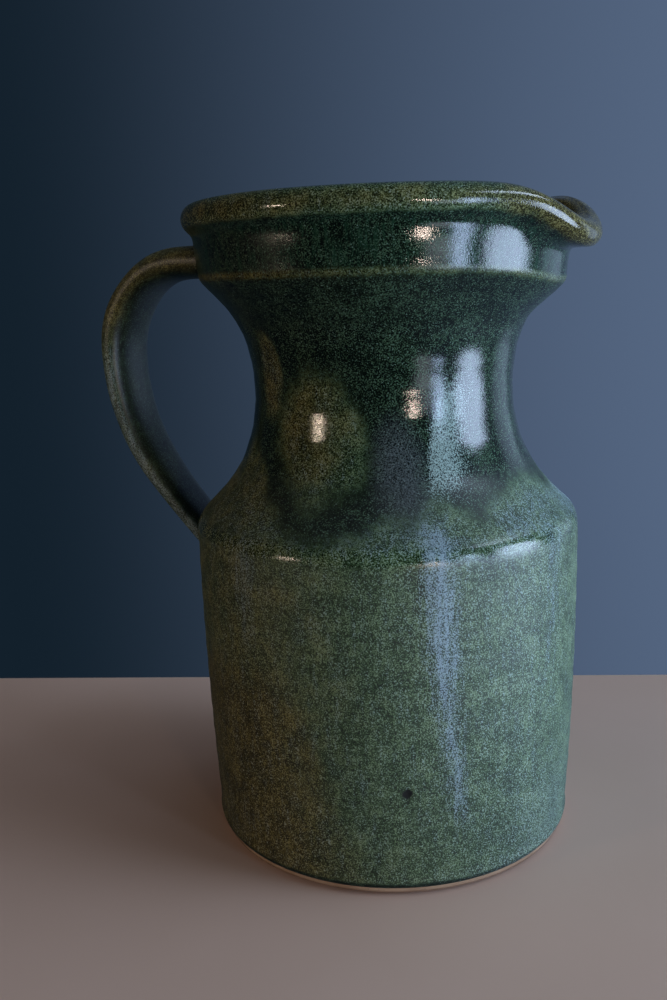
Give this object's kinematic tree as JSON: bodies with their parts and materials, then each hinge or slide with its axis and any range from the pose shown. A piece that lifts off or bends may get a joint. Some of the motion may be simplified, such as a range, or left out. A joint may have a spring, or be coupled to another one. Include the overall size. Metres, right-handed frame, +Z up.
{
  "type": "stoneware jug",
  "caption": "Wheel-thrown glazed stoneware jug with a tall straight belly, waisted neck, collared rim, pulled pouring lip and pulled strap handle.",
  "frame": {"origin": "on the jug's own axis, at the plane its foot stands on", "axes": "+Z up along the jug's axis, +X towards the pouring lip, -X towards the handle, +Y completes a right-handed frame"},
  "size_m": [0.164, 0.1181, 0.1938],
  "materials": {
    "stoneware_clay": "bare fired clay",
    "clay_slip": "fired slip",
    "green_glaze": "satin speckled green glaze, olive where thin",
    "liner_glaze": "gloss olive glaze",
    "bottle_green_glaze": "gloss dark green glaze"
  },
  "bodies": {
    "root": {"thrown_body": "stoneware_clay", "pulled_handle": "stoneware_clay", "handle_top_slip": "clay_slip", "handle_foot_slip": "clay_slip", "outer_glaze": "green_glaze", "handle_glaze": "green_glaze", "liner_glaze": "liner_glaze", "second_pour_glaze": "bottle_green_glaze"}
  },
  "joints": []
}
